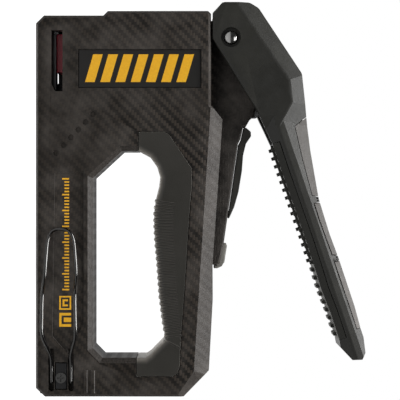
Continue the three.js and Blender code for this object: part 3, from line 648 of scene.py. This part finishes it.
def grip_ribs():
    """Fine ribs across the finger side, every second one raised into a bead."""
    low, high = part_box("grip_insert")
    half = (high.y - low.y) / 2 / MM
    height = finger_height()
    verts, faces = [], []
    count = int((RIB_SPAN[1] - RIB_SPAN[0]) / RIB_PITCH)
    arcs = 6
    for i in range(count + 1):
        x = RIB_SPAN[0] + RIB_PITCH * i
        z = height(x)
        slope = (height(x + 1.5) - height(x - 1.5)) / 3
        along = Vector((1, 0, slope)).normalized()
        inward = Vector((-along.z, 0, along.x))
        reach = RIB_REACH[0] + (RIB_REACH[1] - RIB_REACH[0]) * i / count
        tallest, widest = BEAD if i % 2 == 0 else THIN_RIB
        path = rib_path(reach, half)
        first = len(verts)
        for k, (depth, y, out_depth, out_y) in enumerate(path):
            under = max(0.0, -out_depth)
            tall = FACE_RIB[0] + (tallest - FACE_RIB[0]) * under
            wide = FACE_RIB[1] + (widest - FACE_RIB[1]) * under
            if k in (0, len(path) - 1):
                tall = 0.02  # the rib's end runs out into the face
            middle = Vector((x, y, z)) + inward * depth
            out = inward * out_depth + Vector((0, out_y, 0))
            for j in range(arcs + 1):
                a = math.pi * j / arcs
                rise = tall * math.sin(a) - RIB_SINK
                verts.append((middle + along * (wide * math.cos(a)) + out * rise) * MM)
        for k in range(len(path) - 1):
            for j in range(arcs):
                a = first + k * (arcs + 1) + j
                faces.append((a, a + 1, a + arcs + 2, a + arcs + 1))
        for k in (0, len(path) - 1):
            faces.append(tuple(first + k * (arcs + 1) + j for j in range(arcs + 1)))
        for k in range(len(path) - 1):
            a = first + k * (arcs + 1)
            faces.append((a, a + arcs + 1, a + 2 * arcs + 1, a + arcs))
    piece_from("grip_ribs", verts, faces, rib_rubber, "grip_insert")


def piece_from(name, verts, faces, material, node):
    """A smooth-shaded piece that rides the body of a CAD node."""
    mesh = bpy.data.meshes.new(name)
    mesh.from_pydata(verts, [], faces)
    bm = bmesh.new()
    bm.from_mesh(mesh)
    bmesh.ops.recalc_face_normals(bm, faces=bm.faces)
    bm.to_mesh(mesh)
    bm.free()
    shade(mesh)
    return new_piece(name, mesh, material, frame["nodes"][node]["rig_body"])


grip()
grip_ribs()


# ---------------------------------------------------------------- printed marks
PRINT_THICKNESS = 0.05
PRINT_BEVEL = 0.05


def printed(name, shapes, floor_y, material, node):
    """Thin raised shapes on a face that looks towards -Y: each a ring of (x, z) in millimetres."""
    verts, faces = [], []
    for ring in shapes:
        n = len(ring)
        first = len(verts)
        centre = [sum(p[k] for p in ring) / n for k in (0, 1)]
        levels = ((0.0, 0.0), (0.6, 0.0), (1.0, PRINT_BEVEL))
        for y, inset in ((floor_y - share * PRINT_THICKNESS, inset) for share, inset in levels):
            for x, z in ring:
                dx, dz = centre[0] - x, centre[1] - z
                reach = math.hypot(dx, dz)
                verts.append(Vector((x + dx / reach * inset, y, z + dz / reach * inset)) * MM)
        for level in range(2):
            for k in range(n):
                a, b = first + level * n + k, first + level * n + (k + 1) % n
                faces.append((a, b, b + n, a + n))
        faces.append(tuple(first + 2 * n + k for k in range(n)))
        faces.append(tuple(first + k for k in range(n)))
    piece_from(name, verts, faces, material, node)


def badge_bars():
    """Seven slanted bars, a plain pattern in place of a printed name."""
    low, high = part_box("badge_plate")
    x0, x1 = low.x / MM + 2.2, high.x / MM - 2.6  # margins to the edges of the plate
    z0, z1 = low.z / MM + 3.1, high.z / MM - 3.3
    count, slant = 7, 4.0
    share = 0.63  # a bar's width as a share of the pitch
    step = (z1 - z0 - slant) / (count - 1 + share)
    bars = []
    for i in range(count):
        a = z0 + step * i
        b = a + step * share
        bars.append([(x1, a), (x1, b), (x0, b + slant), (x0, a + slant)])
    printed("badge_bars", bars, low.y / MM, amber_print, "badge_plate")


def box_ring(x0, x1, z0, z1):
    return [(x0, z0), (x1, z0), (x1, z1), (x0, z1)]


def outlined_pictogram(x, size, left, right):
    """An outlined box with a staple in it."""
    edge = 0.75
    box = [box_ring(x, x + edge, left, right), box_ring(x + size - edge, x + size, left, right),
           box_ring(x + edge, x + size - edge, left, left + edge),
           box_ring(x + edge, x + size - edge, right - edge, right)]
    near, far, wire = x + 1.7, x + 5.1, 0.9
    back, tips = left + 1.6, right - 1.6
    staple = [box_ring(near, far, back, back + wire),
              box_ring(near, near + wire, back + wire, tips),
              box_ring(far - wire, far, back + wire, tips)]
    return box + staple


def filled_pictogram(x, size, left, right):
    """A filled box with the shape of a staple left out."""
    side, back, wire = 1.3, 1.1, 1.0
    near, far = x + side, x + size - side
    return [box_ring(x, near, left, right), box_ring(far, x + size, left, right),
            box_ring(near, far, left, left + back),
            box_ring(near + wire, far - wire, left + 2 * back, right)]


def scale_marks(face_y):
    """A plain row of ticks and two staple pictograms on the panel inside the belt hook."""
    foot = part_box("magazine_channel")[0].z / MM + 12.9
    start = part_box("grip_insert")[0].x / MM + 22.6
    pitch, count, width = 1.55, 36, 0.75
    long_tick, short_tick = 3.4, 2.3
    marks = []
    for i in range(count):
        x = start + pitch * i
        length = long_tick if i % 5 == 0 else short_tick
        marks.append(box_ring(x, x + width, foot + long_tick - length, foot + long_tick))
    left, right = foot - 1.4, foot + 4.4
    size = 6.8
    x = start + pitch * count + 1.9
    marks += outlined_pictogram(x, size, left, right)
    marks += filled_pictogram(x + size + 1.5, size, left, right)
    printed("scale_marks", marks, face_y, amber_print, "shell_left")


FACE_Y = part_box("grip_insert")[0].y / MM  # the flat show side, level with the grip
PANEL_DEPTH = 0.5  # how far the panel inside the belt hook lies below it
badge_bars()
scale_marks(FACE_Y + PANEL_DEPTH)


# ---------------------------------------------------------------- small handle details
COLLAR_RADIUS = 0.42
COLLAR_TIP = 0.1  # its radius at both ends
COLLAR_TAPER = 0.3  # length of the ends that run out
COLLAR_REACH = 11.8  # half of its length at most
COLLAR_SINK = 0.25


def collars():
    """Pairs of half-round bands across the palm side, between the pads."""
    steps = 12
    verts, faces = [], []
    for before, after in ((1, 2), (2, 3)):
        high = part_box(f"palm_pad_{before}")[1]
        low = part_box(f"palm_pad_{after}")[0]
        for share in (0.3, 0.7):
            x = (high.x + (low.x - high.x) * share) / MM
            z = high.z / MM - COLLAR_SINK
            reach = min(high.y / MM, COLLAR_REACH)
            full = reach - COLLAR_TAPER
            rings = ((-reach, COLLAR_TIP), (-full, COLLAR_RADIUS),
                     (full, COLLAR_RADIUS), (reach, COLLAR_TIP))
            first = len(verts)
            for y, r in rings:
                for k in range(steps):
                    a = 2 * math.pi * k / steps
                    verts.append(Vector((x + r * math.cos(a), y, z + r * math.sin(a))) * MM)
            last = first + (len(rings) - 1) * steps
            for ring in range(first, last, steps):
                for k in range(steps):
                    a, b = ring + k, ring + (k + 1) % steps
                    faces.append((a, b, b + steps, a + steps))
            faces.append(tuple(first + k for k in range(steps)))
            faces.append(tuple(last + k for k in range(steps)))
    piece_from("pad_collars", verts, faces, handle_plastic, "handle_cover")


collars()


# ---------------------------------------------------------------- stage, light, camera
def area_light(name, place, target, size, power):
    light = bpy.data.lights.new(name, "AREA")
    light.shape = "RECTANGLE"
    light.size, light.size_y = size
    light.energy = power
    obj = bpy.data.objects.new(name, light)
    obj.location = place
    obj.rotation_euler = (Vector(target) - Vector(place)).to_track_quat("-Z", "Y").to_euler()
    bpy.context.scene.collection.objects.link(obj)
    return obj


FLOOR_REACH = 3.5
FLOOR_GAP = 0.2 * MM  # the floor lies this far under the tool


def stage_floor():
    """A pale sweep: the camera sees it bright, but little of it bounces back onto the tool."""
    m = Maker("floor_paper")
    tone = m.range(m.noise(3, 2, 0.5), 0.3, 0.7, 0.86, 0.90)
    combine = m.add("ShaderNodeCombineColor")
    for socket in combine.inputs:
        m.link(tone, socket)
    m.link(combine.outputs[0], m.shader.inputs["Emission Color"])
    seen = m.add("ShaderNodeLightPath").outputs["Is Camera Ray"]
    m.link(m.range(seen, 0, 1, 0.20, 1.15), m.shader.inputs["Emission Strength"])
    paper = m.finish(m.mix(tone, (0.10, 0.10, 0.10, 1), (0.16, 0.16, 0.16, 1)), 0.9)
    mesh = bpy.data.meshes.new("floor")
    low = CAD_BOX[0][2] - FLOOR_GAP
    corners = [(x * FLOOR_REACH, y * FLOOR_REACH, low) for x, y in ((-1, -1), (1, -1), (1, 1), (-1, 1))]
    mesh.from_pydata(corners, [], [(0, 1, 2, 3)])
    floor = bpy.data.objects.new("floor", mesh)
    mesh.materials.append(paper)
    floor.visible_shadow = False  # the light from below reaches the tool through it
    bpy.context.scene.collection.objects.link(floor)


def world_light(strength):
    world = bpy.data.worlds.new("studio")
    bpy.context.scene.world = world
    world.use_nodes = True
    tree = world.node_tree
    tree.nodes.clear()
    output = tree.nodes.new("ShaderNodeOutputWorld")
    mix = tree.nodes.new("ShaderNodeMixShader")
    path = tree.nodes.new("ShaderNodeLightPath")
    around = tree.nodes.new("ShaderNodeBackground")
    around.inputs["Color"].default_value = (1, 1, 1, 1)
    around.inputs["Strength"].default_value = strength
    seen = tree.nodes.new("ShaderNodeBackground")
    seen.inputs["Color"].default_value = (1, 1, 1, 1)
    tree.links.new(path.outputs["Is Camera Ray"], mix.inputs[0])
    tree.links.new(around.outputs[0], mix.inputs[1])
    tree.links.new(seen.outputs[0], mix.inputs[2])
    tree.links.new(mix.outputs[0], output.inputs[0])


VIEW_CENTRE = Vector((-2.65, 0, 80.4)) * MM  # what the camera looks at
CAMERA_DISTANCE = 0.650
VIEW_WIDTH = 0.200  # width of the view at the middle of the tool
SENSOR = 36.0


def camera():
    data = bpy.data.cameras.new("camera")
    data.sensor_width = SENSOR
    data.lens = SENSOR * CAMERA_DISTANCE / VIEW_WIDTH
    obj = bpy.data.objects.new("camera", data)
    # the tool is seen from -Y with its nose up: right is +Z, up is -X
    turn = Matrix(((0, -1, 0), (0, 0, -1), (1, 0, 0))).to_4x4()
    obj.matrix_world = Matrix.Translation(VIEW_CENTRE + Vector((0, -CAMERA_DISTANCE, 0))) @ turn
    bpy.context.scene.collection.objects.link(obj)
    bpy.context.scene.camera = obj


bpy.context.scene.view_settings.view_transform = "Standard"
stage_floor()
world_light(0.025)
area_light("key", (-0.05, -0.24, 1.10), (0, 0, 0.08), (1.0, 0.5), 18.5)
area_light("front", (0.10, -0.80, 0.85), (0, 0, 0.08), (0.6, 0.6), 2.0)
area_light("fill", (0.02, -0.50, -0.48), (0, 0, 0.05), (0.5, 0.3), 1.5)
area_light("under", (0, 0.45, -0.60), (0, 0, 0.08), (1.0, 0.5), 12)
backdrop = area_light("backdrop", (0, 0.55, 0.10), (0, 0, 0.08), (1.5, 1.1), 3)
backdrop.visible_camera = False
camera()
